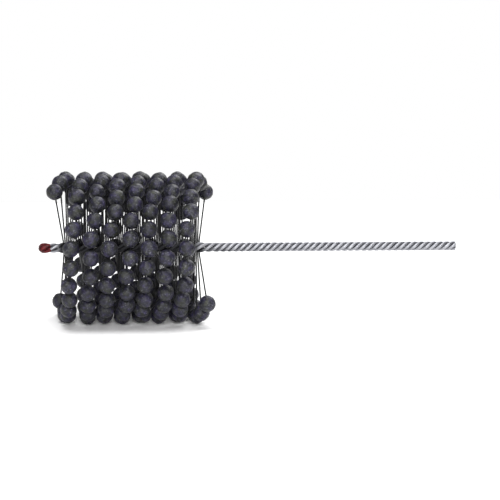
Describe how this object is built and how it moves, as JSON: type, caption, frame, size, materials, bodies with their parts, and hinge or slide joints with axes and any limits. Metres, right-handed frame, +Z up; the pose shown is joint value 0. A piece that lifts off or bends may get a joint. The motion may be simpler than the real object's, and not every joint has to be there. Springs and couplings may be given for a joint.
{
  "type": "flexible ball hone",
  "caption": "Flexible ball hone: a twisted wire stem with a painted tip holds a helix of nylon filaments, each with an abrasive globule on both ends.",
  "frame": {"origin": "centre of the shank's cut end, on the stem's axis", "axes": "+X along the stem from the tip to the shank's cut end, +Z up as the hone lies on its side"},
  "size_m": [0.343, 0.1259, 0.1244],
  "materials": {
    "stem_steel": "galvanised, bright",
    "tip_paint": "dried dip paint, dark red",
    "nylon": "smooth, near black",
    "abrasive": "bonded grit, charcoal grey, matt"
  },
  "bodies": {
    "stem": {"stem_wire_1": "stem_steel", "stem_wire_2": "stem_steel", "stem_wire_3": "stem_steel", "stem_wire_4": "stem_steel", "painted_tip": "tip_paint", "filaments_turn_1": "nylon", "filaments_turn_2": "nylon", "filaments_turn_3": "nylon", "filaments_turn_4": "nylon"},
    "arm_row_01": {"ball_row_01": "abrasive"},
    "arm_row_02": {"ball_row_02": "abrasive"},
    "arm_row_03": {"ball_row_03": "abrasive"},
    "arm_row_04": {"ball_row_04": "abrasive"},
    "arm_row_05": {"ball_row_05": "abrasive"},
    "arm_row_06": {"ball_row_06": "abrasive"},
    "arm_row_07": {"ball_row_07": "abrasive"},
    "arm_row_08": {"ball_row_08": "abrasive"},
    "arm_row_09": {"ball_row_09": "abrasive"},
    "arm_row_10": {"ball_row_10": "abrasive"},
    "arm_row_11": {"ball_row_11": "abrasive"},
    "arm_row_12": {"ball_row_12": "abrasive"},
    "arm_row_13": {"ball_row_13": "abrasive"},
    "arm_row_14": {"ball_row_14": "abrasive"},
    "arm_row_15": {"ball_row_15": "abrasive"},
    "arm_row_16": {"ball_row_16": "abrasive"},
    "arm_row_17": {"ball_row_17": "abrasive"},
    "arm_row_18": {"ball_row_18": "abrasive"},
    "arm_row_19": {"ball_row_19": "abrasive"},
    "arm_row_20": {"ball_row_20": "abrasive"},
    "arm_row_21": {"ball_row_21": "abrasive"},
    "arm_row_22": {"ball_row_22": "abrasive"},
    "arm_row_23": {"ball_row_23": "abrasive"}
  },
  "joints": [
    {"name": "arm_sweep_01", "type": "hinge", "parent": "stem", "child": "arm_row_01", "pos_m": [-0.26728, -0.00578, 0.0133], "axis": [1, 0, 0], "range_deg": [-40, 40], "stiffness_Nm_per_rad": 0.12, "deforming": ["filaments_turn_1", "filaments_turn_2", "filaments_turn_3", "filaments_turn_4"]},
    {"name": "arm_sweep_02", "type": "hinge", "parent": "stem", "child": "arm_row_02", "pos_m": [-0.26728, -0.00198, 0.01436], "axis": [1, 0, 0], "range_deg": [-40, 40], "stiffness_Nm_per_rad": 0.12},
    {"name": "arm_sweep_03", "type": "hinge", "parent": "stem", "child": "arm_row_03", "pos_m": [-0.26728, 0.00197, 0.01436], "axis": [1, 0, 0], "range_deg": [-40, 40], "stiffness_Nm_per_rad": 0.12},
    {"name": "arm_sweep_04", "type": "hinge", "parent": "stem", "child": "arm_row_04", "pos_m": [-0.26728, 0.00577, 0.0133], "axis": [1, 0, 0], "range_deg": [-40, 40], "stiffness_Nm_per_rad": 0.12},
    {"name": "arm_sweep_05", "type": "hinge", "parent": "stem", "child": "arm_row_05", "pos_m": [-0.26728, 0.00915, 0.01125], "axis": [1, 0, 0], "range_deg": [-40, 40], "stiffness_Nm_per_rad": 0.12},
    {"name": "arm_sweep_06", "type": "hinge", "parent": "stem", "child": "arm_row_06", "pos_m": [-0.26728, 0.01184, 0.00836], "axis": [1, 0, 0], "range_deg": [-40, 40], "stiffness_Nm_per_rad": 0.12},
    {"name": "arm_sweep_07", "type": "hinge", "parent": "stem", "child": "arm_row_07", "pos_m": [-0.26728, 0.01366, 0.00486], "axis": [1, 0, 0], "range_deg": [-40, 40], "stiffness_Nm_per_rad": 0.12},
    {"name": "arm_sweep_08", "type": "hinge", "parent": "stem", "child": "arm_row_08", "pos_m": [-0.26728, 0.01447, 0.00099], "axis": [1, 0, 0], "range_deg": [-40, 40], "stiffness_Nm_per_rad": 0.12},
    {"name": "arm_sweep_09", "type": "hinge", "parent": "stem", "child": "arm_row_09", "pos_m": [-0.26728, 0.0142, -0.00295], "axis": [1, 0, 0], "range_deg": [-40, 40], "stiffness_Nm_per_rad": 0.12},
    {"name": "arm_sweep_10", "type": "hinge", "parent": "stem", "child": "arm_row_10", "pos_m": [-0.26728, 0.01287, -0.00667], "axis": [1, 0, 0], "range_deg": [-40, 40], "stiffness_Nm_per_rad": 0.12},
    {"name": "arm_sweep_11", "type": "hinge", "parent": "stem", "child": "arm_row_11", "pos_m": [-0.26728, 0.0106, -0.00989], "axis": [1, 0, 0], "range_deg": [-40, 40], "stiffness_Nm_per_rad": 0.12},
    {"name": "arm_sweep_12", "type": "hinge", "parent": "stem", "child": "arm_row_12", "pos_m": [-0.26728, 0.00754, -0.01239], "axis": [1, 0, 0], "range_deg": [-40, 40], "stiffness_Nm_per_rad": 0.12},
    {"name": "arm_sweep_13", "type": "hinge", "parent": "stem", "child": "arm_row_13", "pos_m": [-0.26728, 0.00391, -0.01396], "axis": [1, 0, 0], "range_deg": [-40, 40], "stiffness_Nm_per_rad": 0.12},
    {"name": "arm_sweep_14", "type": "hinge", "parent": "stem", "child": "arm_row_14", "pos_m": [-0.26728, 0, -0.0145], "axis": [1, 0, 0], "range_deg": [-40, 40], "stiffness_Nm_per_rad": 0.12},
    {"name": "arm_sweep_15", "type": "hinge", "parent": "stem", "child": "arm_row_15", "pos_m": [-0.26728, -0.00391, -0.01396], "axis": [1, 0, 0], "range_deg": [-40, 40], "stiffness_Nm_per_rad": 0.12},
    {"name": "arm_sweep_16", "type": "hinge", "parent": "stem", "child": "arm_row_16", "pos_m": [-0.26728, -0.00753, -0.01239], "axis": [1, 0, 0], "range_deg": [-40, 40], "stiffness_Nm_per_rad": 0.12},
    {"name": "arm_sweep_17", "type": "hinge", "parent": "stem", "child": "arm_row_17", "pos_m": [-0.26728, -0.0106, -0.0099], "axis": [1, 0, 0], "range_deg": [-40, 40], "stiffness_Nm_per_rad": 0.12},
    {"name": "arm_sweep_18", "type": "hinge", "parent": "stem", "child": "arm_row_18", "pos_m": [-0.26728, -0.01287, -0.00667], "axis": [1, 0, 0], "range_deg": [-40, 40], "stiffness_Nm_per_rad": 0.12},
    {"name": "arm_sweep_19", "type": "hinge", "parent": "stem", "child": "arm_row_19", "pos_m": [-0.26728, -0.0142, -0.00295], "axis": [1, 0, 0], "range_deg": [-40, 40], "stiffness_Nm_per_rad": 0.12},
    {"name": "arm_sweep_20", "type": "hinge", "parent": "stem", "child": "arm_row_20", "pos_m": [-0.26728, -0.01447, 0.00099], "axis": [1, 0, 0], "range_deg": [-40, 40], "stiffness_Nm_per_rad": 0.12},
    {"name": "arm_sweep_21", "type": "hinge", "parent": "stem", "child": "arm_row_21", "pos_m": [-0.26728, -0.01366, 0.00485], "axis": [1, 0, 0], "range_deg": [-40, 40], "stiffness_Nm_per_rad": 0.12},
    {"name": "arm_sweep_22", "type": "hinge", "parent": "stem", "child": "arm_row_22", "pos_m": [-0.26728, -0.01185, 0.00836], "axis": [1, 0, 0], "range_deg": [-40, 40], "stiffness_Nm_per_rad": 0.12},
    {"name": "arm_sweep_23", "type": "hinge", "parent": "stem", "child": "arm_row_23", "pos_m": [-0.26728, -0.00915, 0.01125], "axis": [1, 0, 0], "range_deg": [-40, 40], "stiffness_Nm_per_rad": 0.12}
  ],
  "couplings": [
    {"joint": "arm_sweep_02", "follows": "arm_sweep_01", "ratio": 1},
    {"joint": "arm_sweep_03", "follows": "arm_sweep_01", "ratio": 1},
    {"joint": "arm_sweep_04", "follows": "arm_sweep_01", "ratio": 1},
    {"joint": "arm_sweep_05", "follows": "arm_sweep_01", "ratio": 1},
    {"joint": "arm_sweep_06", "follows": "arm_sweep_01", "ratio": 1},
    {"joint": "arm_sweep_07", "follows": "arm_sweep_01", "ratio": 1},
    {"joint": "arm_sweep_08", "follows": "arm_sweep_01", "ratio": 1},
    {"joint": "arm_sweep_09", "follows": "arm_sweep_01", "ratio": 1},
    {"joint": "arm_sweep_10", "follows": "arm_sweep_01", "ratio": 1},
    {"joint": "arm_sweep_11", "follows": "arm_sweep_01", "ratio": 1},
    {"joint": "arm_sweep_12", "follows": "arm_sweep_01", "ratio": 1},
    {"joint": "arm_sweep_13", "follows": "arm_sweep_01", "ratio": 1},
    {"joint": "arm_sweep_14", "follows": "arm_sweep_01", "ratio": 1},
    {"joint": "arm_sweep_15", "follows": "arm_sweep_01", "ratio": 1},
    {"joint": "arm_sweep_16", "follows": "arm_sweep_01", "ratio": 1},
    {"joint": "arm_sweep_17", "follows": "arm_sweep_01", "ratio": 1},
    {"joint": "arm_sweep_18", "follows": "arm_sweep_01", "ratio": 1},
    {"joint": "arm_sweep_19", "follows": "arm_sweep_01", "ratio": 1},
    {"joint": "arm_sweep_20", "follows": "arm_sweep_01", "ratio": 1},
    {"joint": "arm_sweep_21", "follows": "arm_sweep_01", "ratio": 1},
    {"joint": "arm_sweep_22", "follows": "arm_sweep_01", "ratio": 1},
    {"joint": "arm_sweep_23", "follows": "arm_sweep_01", "ratio": 1}
  ]
}
